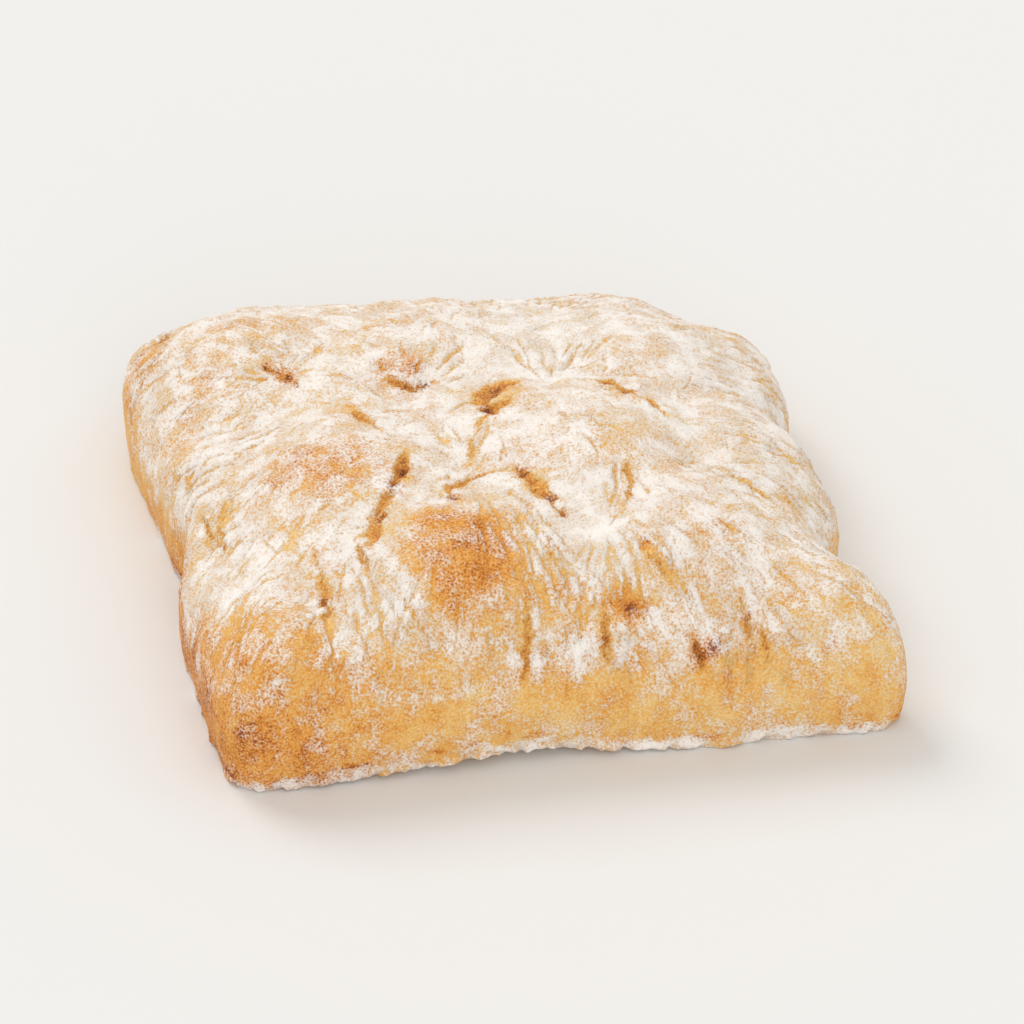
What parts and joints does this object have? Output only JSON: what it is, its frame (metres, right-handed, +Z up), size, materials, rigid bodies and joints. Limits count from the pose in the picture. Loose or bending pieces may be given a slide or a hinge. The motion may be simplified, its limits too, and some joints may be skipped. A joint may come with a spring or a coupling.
{
  "type": "focaccia",
  "caption": "Small square pillow-shaped focaccia roll, flour-dusted, with finger dents, tears and creases in its crust, lying on a flat base.",
  "frame": {"origin": "Middle of the loaf's outline box, on the flat base that it lies on.", "axes": "+Z up out of the base. The front, whose edge has lifted slightly off the tray, faces -Y. +X runs along the front edge, to the right."},
  "size_m": [0.129, 0.1298, 0.0404],
  "materials": {
    "crust": "matte, dry crust dusted with flour"
  },
  "bodies": {
    "root": {"focaccia": "crust"}
  },
  "joints": []
}
